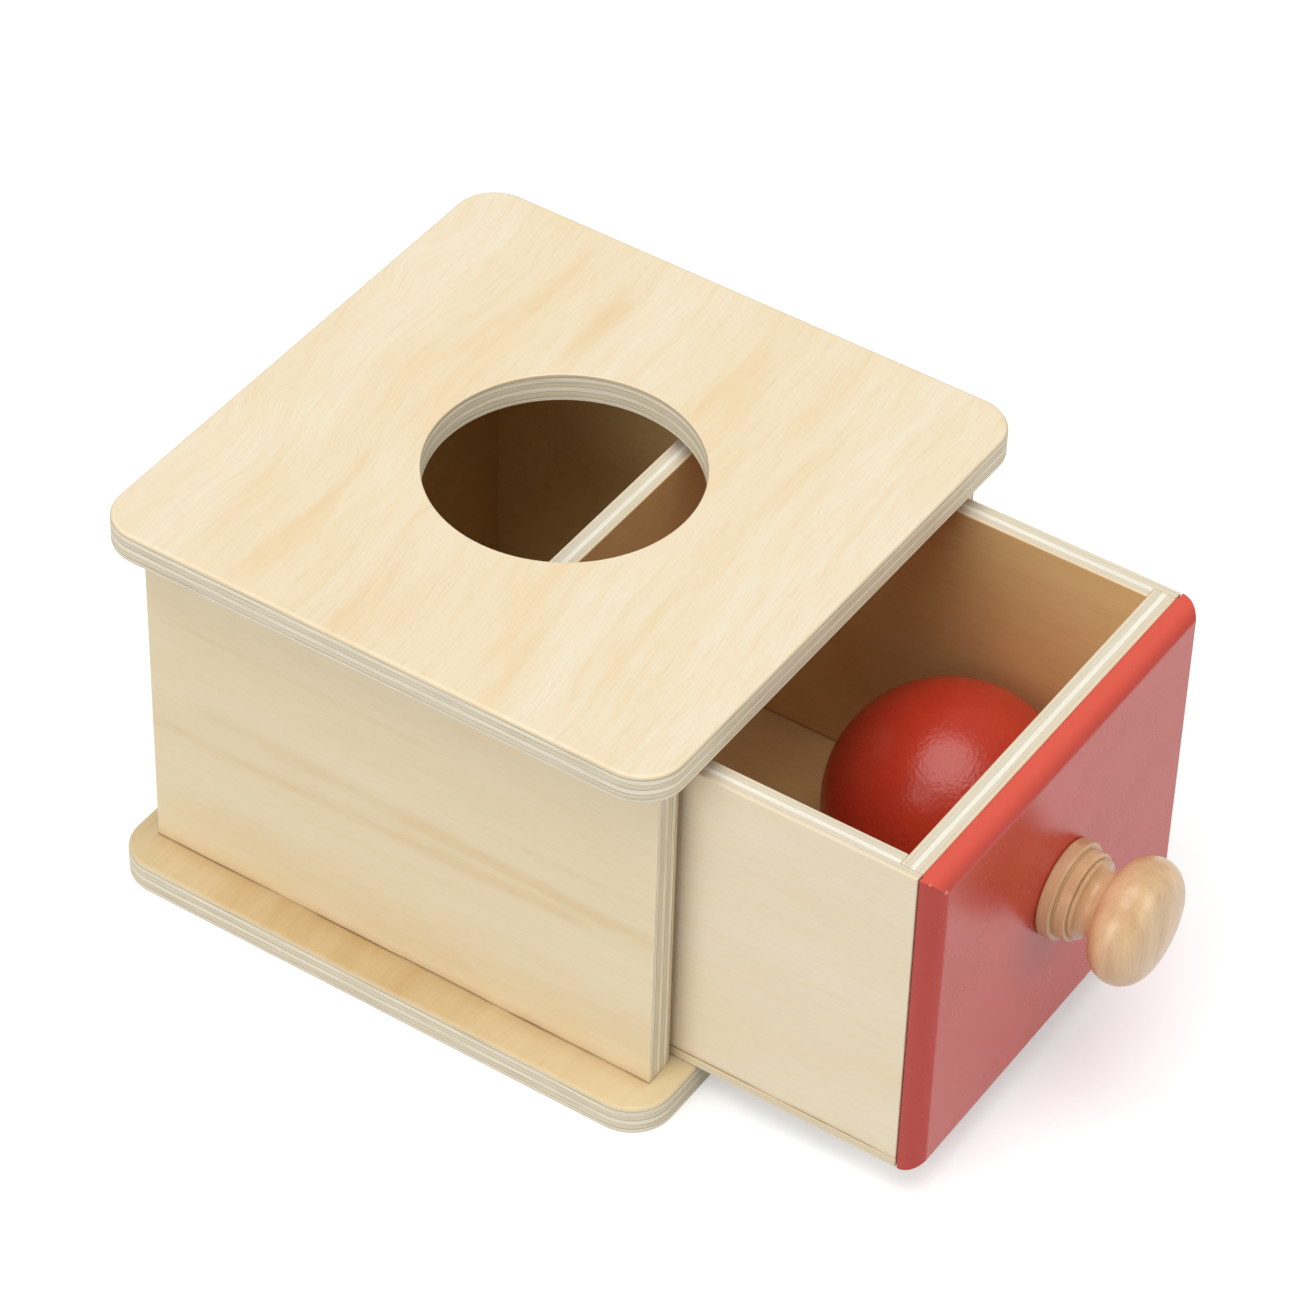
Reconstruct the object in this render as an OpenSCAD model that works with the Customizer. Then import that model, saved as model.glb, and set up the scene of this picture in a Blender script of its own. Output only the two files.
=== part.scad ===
// Object permanence box: a plywood box with a round hole in its lid, a drawer
// that takes in the ball dropped through the hole, and the ball itself.
// Millimetres. +Z is up, the drawer opens towards -Y, and the origin is in the
// middle of the base's underside. The drawer is drawn standing partly open.

/* [Carcass] */
// Width over the two side boards
carcass_w = 150; // [120:1:220]
// Depth of the side boards from front to back
carcass_d = 161; // [140:1:240]
// Height of the side and back boards
carcass_h = 110; // [95:1:160]
// Thickness of the carcass plywood
panel_t = 9; // [8:0.5:15]
// How far the back board is set in from the back edges of the sides
back_inset = 4.5; // [0:0.5:12]

/* [Top and base plates] */
// How far the plates stand out beyond each side board
side_over = 12.5; // [2:0.5:25]
// How far the plates stand out beyond the front of the sides
front_over = 7; // [2:0.5:20]
// How far the plates stand out beyond the back of the sides
back_over = 7; // [2:0.5:20]
// Radius of the plates' corners
plate_corner_r = 12.5; // [3:0.5:20]
// Room all round the ball as it drops through the hole
hole_gap = 3.5; // [2:0.5:8]

/* [Drawer] */
// Thickness of the drawer's sides, front and back
drawer_t = 6.5; // [5:0.5:9]
// Thickness of the board under the drawer
drawer_bottom_t = 3; // [2:0.5:6]
// Thickness of the outer plies that the corner rebates leave on the sides
rebate_lip = 2.5; // [1.5:0.25:3.5]
// Room between the drawer and the left side board
drawer_left_gap = 2.7; // [0.3:0.1:4]
// Room between the drawer and the right side board, which it runs along
drawer_right_gap = 0.3; // [0.2:0.1:3]
// Room over the drawer
drawer_top_gap = 5.7; // [1:0.1:10]
// Running gap under the drawer
drawer_rest_gap = 0.3; // [0.2:0.1:1]
// Room between the closed drawer and the back board
drawer_back_gap = 0.5; // [0.3:0.1:5]
// How far the drawer stands open
drawer_open = 75; // [0:1:100]

/* [Drawer face] */
// Thickness of the painted face
face_t = 7; // [5.5:0.5:10]
// Radius of the rounding round the front of the face
face_round = 6; // [1:0.5:8]
// Straight edge left behind the rounding, at least
face_flat = 0.5; // [0.2:0.1:2]

/* [Knob] */
// Height of the knob over the middle of the face
knob_lift = 1.5; // [-20:0.5:20]
// Diameter of the flange against the face
flange_d = 27.6; // [25:0.2:40]
// Thickness of the flange with the groove in front of it
flange_t = 4.4; // [3.2:0.2:8]
// Diameter of the collar in front of the flange
collar_d = 24.8; // [23:0.2:25]
// Thickness of the collar with the groove in front of it
collar_t = 3.8; // [2.6:0.2:6]
// Diameter of the shoulder between the collar and the neck
shoulder_d = 22.4; // [20:0.2:22.8]
// Length of the shoulder
shoulder_t = 0.8; // [0.4:0.1:1.5]
// Diameter of the neck at its narrowest
neck_d = 18.4; // [14:0.2:20]
// Length of the shoulder and the neck together
neck_len = 4.9; // [3.5:0.1:10]
// How far the hollow of the neck runs on into the back of the head
neck_tuck = 1.8; // [1.7:0.1:2.5]
// Diameter of the head
head_d = 35.4; // [32:0.2:45]
// Thickness of the head
head_t = 17.6; // [16.4:0.2:24]
// Radius of the head's rim
head_rim_r = 7.4; // [5:0.2:7.8]
// Depth of the fine grooves on both sides of the collar
groove_deep = 0.5; // [0.3:0.1:0.8]
// Width of the fine grooves
groove_w = 0.4; // [0.2:0.1:0.6]

/* [Knob screw] */
// Diameter of the screw's shank
screw_d = 4; // [3:0.5:5]
// Diameter of the screw's head
screw_head_d = 8; // [7:0.5:12]
// Thickness of the screw's head
screw_head_t = 2.4; // [1.6:0.1:3.5]
// How far the screw reaches into the knob
screw_bite = 13; // [8:1:18]
// Room round the screw in its holes
screw_fit = 0.1; // [0.05:0.05:0.4]

/* [Ball] */
// Diameter of the ball
ball_d = 68; // [45:1:76]
// Gap between the ball and the walls and floor that it lies against
ball_gap = 0.3; // [0.2:0.1:1]

/* [Dowels] */
// Diameter of the dowels
dowel_d = 5; // [4:0.5:6]
// Length of the dowels
dowel_len = 20; // [14:1:28]
// Depth of the dowel holes in the plates and in the sides' inner faces
dowel_sink = 5.5; // [3:0.5:6.5]
// Room round a dowel in its hole
dowel_fit = 0.1; // [0.05:0.05:0.3]
// Room for glue past the end of a dowel
dowel_glue = 0.8; // [0.3:0.1:1.5]
// Distance of the first dowel from the end of a board
dowel_end = 20; // [15:1:28]
// Height of the back board's end dowels from its edges
back_dowel_end = 38; // [36:1:44]

/* [Hidden] */

$fn = 96;
// Overlap of a cutting body past the face that it cuts
cut = 1;

// Colours as the finished pieces show them
birch = [0.93, 0.87, 0.74];
birch_inside = [0.88, 0.78, 0.62];
drawer_birch = [0.95, 0.91, 0.82];
red_paint = [0.78, 0.2, 0.17];
beech = [0.84, 0.66, 0.46];
steel = [0.7, 0.7, 0.72];

// Plates
plate_w = carcass_w + 2 * side_over;
plate_d = carcass_d + front_over + back_over;
hole_d = ball_d + 2 * hole_gap;

// Carcass: its own front, back and levels
sides_front_y = -plate_d / 2 + front_over;
sides_back_y = plate_d / 2 - back_over;
boards_z = panel_t;
top_z = boards_z + carcass_h;
bay_w = carcass_w - 2 * panel_t;
back_front_y = sides_back_y - back_inset - panel_t;
back_mid_y = back_front_y + panel_t / 2;
side_mid_x = carcass_w / 2 - panel_t / 2;

// Drawer: closed, its face is level with the front edges of the sides
drawer_w = bay_w - drawer_left_gap - drawer_right_gap;
drawer_mid_x = (drawer_left_gap - drawer_right_gap) / 2;
drawer_h = carcass_h - drawer_rest_gap - drawer_top_gap;
drawer_len = back_front_y - drawer_back_gap - sides_front_y - face_t;
drawer_front_y = sides_front_y + face_t - drawer_open;
drawer_back_y = drawer_front_y + drawer_len;
drawer_z = boards_z + drawer_rest_gap;
drawer_floor_z = drawer_z + drawer_bottom_t;
drawer_wall_h = drawer_h - drawer_bottom_t;
drawer_inner_w = drawer_w - 2 * drawer_t;
cross_board_w = drawer_w - 2 * rebate_lip;

// Painted face, and the knob and its screw on its upright middle line
face_front_y = drawer_front_y - face_t;
face_edge_r = min(face_round, face_t - face_flat);
knob_z = drawer_z + drawer_h / 2 + knob_lift;
neck_start = flange_t + collar_t;
head_start = neck_start + neck_len;
screw_seat_y = drawer_front_y + drawer_t;
screw_reach = drawer_t + face_t + screw_bite;

// Ball: it lies in the front right corner of the drawer
ball_x = drawer_mid_x + drawer_inner_w / 2 - ball_d / 2 - ball_gap;
ball_y = drawer_front_y + drawer_t + ball_gap + ball_d / 2;
ball_z = drawer_floor_z + ball_gap + ball_d / 2;

// Dowel places: three along each side, two along the back, two up each end of the back
side_dowel_ys = [
    sides_front_y + dowel_end,
    (sides_front_y + sides_back_y) / 2,
    back_front_y - dowel_end / 2
];
back_dowel_x = bay_w / 2 - dowel_end;
upright_dowel_places = concat(
    [for (side = [-1, 1], y = side_dowel_ys) [side * side_mid_x, y]],
    [for (side = [-1, 1]) [side * back_dowel_x, back_mid_y]]
);
back_dowel_zs = [boards_z + back_dowel_end, top_z - back_dowel_end];

// A rectangle about the origin with round corners
module round_rect(w, d, r) {
    square([w - 2 * r, d], center = true);
    square([w, d - 2 * r], center = true);
    for (x = [-1, 1], y = [-1, 1])
        translate([x * (w / 2 - r), y * (d / 2 - r)]) circle(r);
}

// A rectangle on the X axis, w wide and t deep towards -Y, round at its two front corners
module rounded_front(w, t, r) {
    translate([-w / 2, -t + r]) square([w, t - r]);
    translate([-w / 2 + r, -t]) square([w - 2 * r, t]);
    intersection() {
        for (x = [-1, 1])
            translate([x * (w / 2 - r), -t + r]) circle(r);
        translate([-w / 2, -t]) square([w, t]);
    }
}

// A board with its lower left front corner at a place
module board(place, size) {
    translate(place) cube(size);
}

// Moves what is drawn about x = 0 to the drawer's own middle
module in_drawer() {
    translate([drawer_mid_x, 0, 0]) children();
}

// The holes of a row of upright dowels: from z down by deep and up by high
module upright_holes(z, deep, high) {
    for (p = upright_dowel_places)
        translate([p[0], p[1], z - deep])
            cylinder(h = deep + high, d = dowel_d + 2 * dowel_fit);
}

// The upright dowels of one plate, their plate ends seated; up is 1 for the base, -1 for the top
module upright_dowels(z, up) {
    for (p = upright_dowel_places)
        translate([p[0], p[1], up > 0 ? z - dowel_sink : z + dowel_sink - dowel_len])
            cylinder(h = dowel_len, d = dowel_d);
}

// The dowel holes in the boards that stand between the plates
module board_dowel_holes() {
    in_board = dowel_len - dowel_sink + dowel_glue;
    upright_holes(boards_z, cut, in_board);
    upright_holes(top_z, in_board, cut);
}

// The dowel holes across the joints of back and sides
module back_dowel_holes() {
    in_back = dowel_len - dowel_sink + dowel_glue;
    for (side = [-1, 1], z = back_dowel_zs)
        translate([side * (bay_w / 2 + dowel_sink), back_mid_y, z])
            rotate([0, -90 * side, 0])
                cylinder(h = dowel_sink + in_back, d = dowel_d + 2 * dowel_fit);
}

module top_panel() {
    color(birch)
        difference() {
            translate([0, 0, top_z])
                linear_extrude(panel_t) round_rect(plate_w, plate_d, plate_corner_r);
            translate([0, 0, top_z - cut])
                cylinder(h = panel_t + 2 * cut, d = hole_d, $fn = 180);
            upright_holes(top_z, cut, dowel_sink);
        }
}

module base_panel() {
    color(birch)
        difference() {
            linear_extrude(panel_t) round_rect(plate_w, plate_d, plate_corner_r);
            upright_holes(boards_z, dowel_sink, cut);
        }
}

// One side board; side is -1 on the left and 1 on the right
module side_panel(side) {
    color(birch)
        difference() {
            board(
                [side * side_mid_x - panel_t / 2, sides_front_y, boards_z],
                [panel_t, carcass_d, carcass_h]
            );
            board_dowel_holes();
            back_dowel_holes();
        }
}

module left_side_panel() {
    side_panel(-1);
}

module right_side_panel() {
    side_panel(1);
}

module back_panel() {
    color(birch_inside)
        difference() {
            board([-bay_w / 2, back_front_y, boards_z], [bay_w, panel_t, carcass_h]);
            board_dowel_holes();
            back_dowel_holes();
        }
}

// One drawer side, rebated at both ends of its inner face
module drawer_side(side) {
    rebate = drawer_t - rebate_lip;
    color(drawer_birch)
        in_drawer() difference() {
            board(
                [side * (drawer_w - drawer_t) / 2 - drawer_t / 2, drawer_front_y, drawer_floor_z],
                [drawer_t, drawer_len, drawer_wall_h]
            );
            for (y = [drawer_front_y - cut, drawer_back_y - drawer_t])
                translate([side * (drawer_inner_w / 2 + rebate / 2), y, drawer_floor_z - cut])
                    translate([-rebate / 2 - (side > 0 ? cut : 0), 0, 0])
                        cube([rebate + cut, drawer_t + cut, drawer_wall_h + 2 * cut]);
        }
}

module drawer_left_side() {
    drawer_side(-1);
}

module drawer_right_side() {
    drawer_side(1);
}

module drawer_front_panel() {
    color(drawer_birch)
        in_drawer() difference() {
            board(
                [-cross_board_w / 2, drawer_front_y, drawer_floor_z],
                [cross_board_w, drawer_t, drawer_wall_h]
            );
            knob_screw_hole(drawer_t + 2 * cut, drawer_front_y - cut);
        }
}

module drawer_back_panel() {
    color(drawer_birch)
        in_drawer() board(
            [-cross_board_w / 2, drawer_back_y - drawer_t, drawer_floor_z],
            [cross_board_w, drawer_t, drawer_wall_h]
        );
}

module drawer_bottom() {
    color(birch_inside)
        in_drawer() board([-drawer_w / 2, drawer_front_y, drawer_z], [drawer_w, drawer_len, drawer_bottom_t]);
}

// The hole for the knob's screw, long from y towards the back
module knob_screw_hole(long, y) {
    translate([0, y, knob_z])
        rotate([-90, 0, 0])
            cylinder(h = long, d = screw_d + 2 * screw_fit);
}

// The face is the overlap of its rounded outlines seen from above and from the side
module drawer_face() {
    color(red_paint)
        in_drawer() difference() {
            intersection() {
                translate([0, drawer_front_y, drawer_z])
                    linear_extrude(drawer_h) rounded_front(drawer_w, face_t, face_edge_r);
                translate([-drawer_w / 2, drawer_front_y, drawer_z + drawer_h / 2])
                    rotate([90, 0, 90])
                        linear_extrude(drawer_w)
                            rotate(-90)
                                rounded_front(drawer_h, face_t, face_edge_r);
            }
            knob_screw_hole(face_t + 2 * cut, face_front_y - cut);
        }
}

// Half outline of the knob's head: two flat arcs that run smoothly into a round rim
module head_outline() {
    rim_x = head_d / 2 - head_rim_r;
    half = head_t / 2;
    dome_r = (rim_x * rim_x + half * half - head_rim_r * head_rim_r) / (2 * (half - head_rim_r));
    meet_x = rim_x * dome_r / (dome_r - head_rim_r);
    intersection() {
        translate([0, half - dome_r]) circle(dome_r, $fn = 180);
        translate([0, dome_r - half]) circle(dome_r, $fn = 180);
        translate([0, -half]) square([meet_x, head_t]);
    }
    translate([rim_x, 0]) circle(head_rim_r);
}

// Half outline of a disc of radius r on the Y axis, long from a start, with eased edges
module eased_disc(r, start, long, edge_r) {
    translate([0, start]) square([r - edge_r, long]);
    translate([0, start + edge_r]) square([r, long - 2 * edge_r]);
    for (y = [start + edge_r, start + long - edge_r])
        translate([r - edge_r, y]) circle(edge_r);
}

// Half outline of the knob, its axis on Y and the flange's back at 0
module knob_outline() {
    shoulder_r = shoulder_d / 2;
    waist_r = (neck_len - shoulder_t + neck_tuck) / 2;
    waist_y = neck_start + shoulder_t + waist_r;
    waist_x = neck_d / 2 + waist_r;
    // Flange and collar, each with a fine groove in front of it
    eased_disc(flange_d / 2, 0, flange_t - groove_w, flange_t / 6);
    eased_disc(collar_d / 2, flange_t, collar_t - groove_w, collar_t / 6);
    square([collar_d / 2 - groove_deep, neck_start - 2 * groove_w]);
    square([shoulder_r - groove_deep, neck_start + shoulder_t]);
    // Shoulder and hollow neck
    difference() {
        union() {
            translate([0, neck_start]) square([shoulder_r, waist_y - neck_start]);
            translate([0, waist_y]) square([waist_x, waist_r]);
        }
        translate([waist_x, waist_y]) circle(waist_r);
    }
    translate([0, head_start + head_t / 2]) head_outline();
}

module knob() {
    color(beech)
        in_drawer() difference() {
            translate([0, face_front_y, knob_z])
                rotate([90, 0, 0])
                    rotate_extrude($fn = 128)
                        intersection() {
                            knob_outline();
                            square([head_d, head_start + head_t]);
                        }
            knob_screw_hole(screw_bite + dowel_glue + cut, face_front_y - screw_bite - dowel_glue);
        }
}

// Round head with a cross recess, seated on the inside of the drawer's front
module knob_screw() {
    recess_w = screw_head_t / 3;
    recess_long = screw_head_d * 0.6;
    color(steel)
        in_drawer() difference() {
            union() {
                translate([0, screw_seat_y - screw_reach, knob_z])
                    rotate([-90, 0, 0]) cylinder(h = screw_reach, d = screw_d);
                translate([0, screw_seat_y, knob_z])
                    rotate([-90, 0, 0]) cylinder(h = screw_head_t, d = screw_head_d);
            }
            for (turn = [0, 90])
                translate([0, screw_seat_y + screw_head_t / 2, knob_z])
                    rotate([0, turn, 0])
                        translate([-recess_long / 2, 0, -recess_w / 2])
                            cube([recess_long, screw_head_t / 2 + cut, recess_w]);
        }
}

module ball() {
    color(red_paint) translate([ball_x, ball_y, ball_z]) sphere(d = ball_d);
}

module top_dowels() {
    color(beech) upright_dowels(top_z, -1);
}

module base_dowels() {
    color(beech) upright_dowels(boards_z, 1);
}

module back_dowels() {
    color(beech)
        for (side = [-1, 1], z = back_dowel_zs)
            translate([side * (bay_w / 2 + dowel_sink), back_mid_y, z])
                rotate([0, -90 * side, 0])
                    cylinder(h = dowel_len, d = dowel_d);
}

top_panel();
base_panel();
left_side_panel();
right_side_panel();
back_panel();
drawer_left_side();
drawer_right_side();
drawer_front_panel();
drawer_back_panel();
drawer_bottom();
drawer_face();
knob();
knob_screw();
ball();
top_dowels();
base_dowels();
back_dowels();
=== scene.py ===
import math

import bmesh
import bpy
from mathutils import Matrix, Vector


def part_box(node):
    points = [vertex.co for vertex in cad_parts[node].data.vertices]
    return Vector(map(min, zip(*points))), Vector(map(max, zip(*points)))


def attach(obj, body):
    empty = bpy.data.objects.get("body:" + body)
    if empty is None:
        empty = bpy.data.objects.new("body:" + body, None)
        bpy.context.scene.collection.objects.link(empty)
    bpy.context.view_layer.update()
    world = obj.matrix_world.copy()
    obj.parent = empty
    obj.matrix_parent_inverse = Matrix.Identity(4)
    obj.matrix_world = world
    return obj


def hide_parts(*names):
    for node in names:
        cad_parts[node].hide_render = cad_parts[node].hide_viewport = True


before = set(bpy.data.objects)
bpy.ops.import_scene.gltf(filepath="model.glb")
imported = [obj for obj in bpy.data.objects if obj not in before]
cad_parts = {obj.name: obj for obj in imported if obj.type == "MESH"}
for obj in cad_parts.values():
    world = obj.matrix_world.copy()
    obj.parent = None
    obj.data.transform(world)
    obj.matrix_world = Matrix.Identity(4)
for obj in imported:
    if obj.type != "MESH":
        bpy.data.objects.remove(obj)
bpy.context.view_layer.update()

# Object permanence box: plywood carcass, drawer with a painted face and a turned knob, painted ball.
# Lengths are metres in the CAD frame: +Z up, the drawer opens towards -Y.

MM = 0.001
X = 0
Y = 1
Z = 2
AXIS_NAMES = "XYZ"


# Shader wiring

class Wire:
    """A socket of a node tree. Arithmetic on it adds Math nodes."""

    def __init__(self, shade, socket):
        self.shade = shade
        self.socket = socket

    def maths(self, operation, first, second=0.0):
        return self.shade.node("ShaderNodeMath", {"operation": operation}, {0: first, 1: second})

    def __add__(self, other):
        return self.maths("ADD", self, other)

    def __radd__(self, other):
        return self.maths("ADD", other, self)

    def __sub__(self, other):
        return self.maths("SUBTRACT", self, other)

    def __rsub__(self, other):
        return self.maths("SUBTRACT", other, self)

    def __mul__(self, other):
        return self.maths("MULTIPLY", self, other)

    def __rmul__(self, other):
        return self.maths("MULTIPLY", other, self)

    def __truediv__(self, other):
        return self.maths("DIVIDE", self, other)

    def __rtruediv__(self, other):
        return self.maths("DIVIDE", other, self)

    def __abs__(self):
        return self.maths("ABSOLUTE", self)

    def larger(self, other):
        return self.maths("MAXIMUM", self, other)

    def step(self, start, end):
        """0 below start, 1 above end, smooth between them."""
        return self.shade.node(
            "ShaderNodeMapRange",
            {"interpolation_type": "SMOOTHSTEP"},
            {"Value": self, "From Min": start, "From Max": end},
        )


# Places of the colour sockets on a Mix node
MIX_FIRST = 6
MIX_SECOND = 7
MIX_RESULT = 2


class Shade:
    """A material and its node tree."""

    def __init__(self, name):
        self.material = bpy.data.materials.new(name)
        self.material.use_nodes = True
        self.tree = self.material.node_tree
        self.tree.nodes.clear()
        self.output = self.tree.nodes.new("ShaderNodeOutputMaterial")

    def node(self, kind, settings, inputs, output=0):
        """Adds a node, sets its settings first and its sockets next, and returns one of its outputs."""
        made = self.tree.nodes.new(kind)
        for key, value in settings.items():
            if key == "stops":
                self.set_stops(made.color_ramp, value)
            else:
                setattr(made, key, value)
        for key, value in inputs.items():
            if isinstance(value, Wire):
                self.tree.links.new(value.socket, made.inputs[key])
            else:
                made.inputs[key].default_value = value
        return Wire(self, made.outputs[output])

    def set_stops(self, ramp, stops):
        """Fills a colour ramp with (place, colour) pairs in rising order."""
        while len(ramp.elements) > 1:
            ramp.elements.remove(ramp.elements[-1])
        ramp.elements[0].position = stops[0][0]
        ramp.elements[0].color = rgba(stops[0][1])
        for place, colour in stops[1:]:
            added = ramp.elements.new(place)
            added.color = rgba(colour)

    def ramp(self, factor, stops):
        return self.node("ShaderNodeValToRGB", {"stops": stops}, {"Fac": factor})

    def place(self):
        """Object coordinates as a vector."""
        return self.node("ShaderNodeTexCoord", {}, {}, "Object")

    def facing(self):
        """The surface's own direction in object coordinates."""
        return self.node("ShaderNodeTexCoord", {}, {}, "Normal")

    def parts(self, vector):
        """The three numbers of a vector."""
        return [self.node("ShaderNodeSeparateXYZ", {}, {"Vector": vector}, name) for name in AXIS_NAMES]

    def vector(self, x, y, z):
        return self.node("ShaderNodeCombineXYZ", {}, {"X": x, "Y": y, "Z": z})

    def noise(self, vector, scale=1.0, detail=2.0, rough=0.5, distortion=0.0):
        return self.node(
            "ShaderNodeTexNoise",
            {"noise_dimensions": "3D"},
            {
                "Vector": vector, "Scale": scale, "Detail": detail, "Roughness": rough,
                "Distortion": distortion,
            },
        )

    def mix(self, factor, first, second):
        """Mixes two colours."""
        return self.node(
            "ShaderNodeMix",
            {"data_type": "RGBA"},
            {"Factor": factor, MIX_FIRST: rgba(first), MIX_SECOND: rgba(second)},
            MIX_RESULT,
        )

    def distance(self, vector, point):
        return self.node("ShaderNodeVectorMath", {"operation": "DISTANCE"}, {0: vector, 1: point}, "Value")

    def bump(self, height, strength, distance):
        sockets = {"Height": height, "Strength": strength, "Distance": distance}
        return self.node("ShaderNodeBump", {}, sockets, "Normal")

    def finish(self, **sockets):
        """Ends the tree in a Principled shader with these sockets; an underscore stands for a space."""
        named = {key.replace("_", " "): value for key, value in sockets.items()}
        named["Base Color"] = rgba(named["Base Color"])
        return self.close(self.node("ShaderNodeBsdfPrincipled", {}, named, "BSDF"))

    def close(self, shader):
        """Links a shader to the material's surface."""
        self.tree.links.new(shader.socket, self.output.inputs["Surface"])
        return self.material


def rgba(colour):
    """A colour for a socket: a link as it is, three numbers with full alpha."""
    if isinstance(colour, Wire):
        return colour
    return (*colour, 1.0)


def srgb(red, green, blue):
    """A colour as a picture shows it, 0 to 255, in the linear numbers that shaders use."""
    def linear(level):
        level = level / 255.0
        if level <= 0.04045:
            return level / 12.92
        return ((level + 0.055) / 1.055) ** 2.4
    return (linear(red), linear(green), linear(blue))


# Plywood

# Veneers: pale wood, its warmer bands, and its streaks
PALE_TONES = (srgb(246, 233, 206), srgb(242, 218, 176), srgb(236, 202, 150))
SIDE_TONES = (srgb(245, 229, 195), srgb(240, 217, 174), srgb(232, 200, 148))
BASE_TONES = (srgb(229, 209, 168), srgb(219, 193, 145), srgb(207, 176, 122))
# Inner faces of the back and left boards: darker copies of the veneer, painted shade inside the box
BAY_SHADE_TONES = (srgb(206, 168, 108), srgb(194, 152, 92), srgb(166, 124, 70))
# Inner face of the right board: darker than the outside with painted shade, lighter than the other inner
# faces with painted light from the hole
RIGHT_INSIDE_HALF_LIT = (srgb(232, 198, 142), srgb(220, 182, 124), srgb(192, 152, 98))
# Inner faces of the drawer: darker copies of the veneer, painted shade inside the drawer
INNER_SHADE_TONES = (srgb(230, 193, 135), srgb(219, 180, 121), srgb(190, 146, 92))
FLECK = srgb(190, 152, 106)
PIT = srgb(150, 128, 98)
# Warm darkening beside seams: a stain along the drawer's bottom joint, painted contact shade in the carcass's
# inner corners
STAIN_AND_CORNER_SHADE = srgb(192, 150, 94)
SEAM_LINE = srgb(132, 94, 50)

# Plies from a board's low side to its high side: thickness, colour, and how plain the glue line after it is
CARCASS_PLIES = [
    (0.7, srgb(246, 236, 212), 0.3),
    (0.8, srgb(249, 240, 217), 1.0),
    (1.7, srgb(233, 222, 194), 0.6),
    (1.6, srgb(250, 241, 220), 0.9),
    (1.6, srgb(233, 222, 194), 0.6),
    (1.5, srgb(250, 241, 219), 1.0),
    # The outermost ply on the high side is darker: partly its own darker line below the rim, partly painted
    # shade that tones down the highlight on the top plate's eased rim
    (1.1, srgb(222, 205, 171), 0.0),
]
DRAWER_PLIES = [
    (1.1, srgb(236, 220, 190), 0.8),
    (1.2, srgb(228, 217, 194), 0.4),
    (1.5, srgb(250, 245, 228), 0.6),
    (1.5, srgb(227, 218, 196), 0.7),
    (1.2, srgb(234, 221, 194), 0.0),
]
BOTTOM_PLIES = [
    (1.0, srgb(240, 226, 195), 0.5),
    (1.0, srgb(234, 219, 186), 0.5),
    (1.0, srgb(238, 224, 192), 0.0),
]
CARCASS_GLUE = srgb(146, 124, 90)
DRAWER_GLUE = srgb(200, 184, 152)
GLUE_WIDTH = 0.26

# Waves per metre of the veneer's figure, along the grain and beside it
BEND_WAVES = (9.0, 12.0)
CLOUD_WAVES = (7.0, 34.0)
MOTTLE_WAVES = (26.0, 130.0)
LINE_WAVES = (12.0, 300.0)
FIBRE_WAVES = (90.0, 1500.0)
FLECK_WAVES = (240.0, 2300.0)

# How far the figure bends, and where beside the grain it starts to wander more
BEND_REACH = 20 * MM
STREAK_BEND = 6 * MM
WANDER_FROM = 30 * MM
WANDER_FULL = 90 * MM

# Shares of each layer in the warm bands and in the dark lines
CLOUD_WARMTH = 0.6
MOTTLE_WARMTH = 0.4
LINE_WARMTH = 0.15
LINE_DARK = 0.18
FIBRE_DARK = 0.3
FLECK_DARK = 0.14
STREAK_FADE = 3.0

# Edges: waves per metre, sway as a share of the thickness, and how far streaks and pits show
SWAY_WAVES = 40.0
PLY_SWAY = 0.05
RUN_WAVES = 50.0
RUNS_DEEP = 34.0
RUN_SHARE = 0.4
PIT_WAVES = 800.0
PITS_DEEP = 50.0
PIT_SHARE = 0.22

# A seam, with painted contact shade beside it where it is an inner corner: its dark core, its end and the
# waves per metre of the unevenness along it
SEAM_CORE = 0.2 * MM
SEAM_EDGE = 0.7 * MM
SEAM_END = 0.5 * MM
SEAM_UNEVEN_WAVES = 38.0

# Lacquer
BOARD_SHEEN = 0.46
FIBRE_DULLER = 0.1
EDGE_DULLER = 0.14
EDGE_RELIEF = 1.5
GRAIN_STRENGTH = 0.12
GRAIN_DEEP = 0.3 * MM


def ply_stops(plies, glue):
    """Colour stops through a board's thickness: each ply flat in tone, with a thin glue line between two."""
    whole = sum(thick for thick, colour, plain in plies)
    half_glue = GLUE_WIDTH / 2
    stops = []
    depth = 0.0
    for number, (thick, colour, plain) in enumerate(plies):
        start = depth + (half_glue if number else 0.0)
        end = depth + thick - half_glue
        stops.append((start / whole, colour))
        stops.append((end / whole, colour))
        depth += thick
        if number < len(plies) - 1:
            line = tuple(a + (b - a) * plain for a, b in zip(colour, glue))
            stops.append((depth / whole, line))
    return stops


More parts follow.
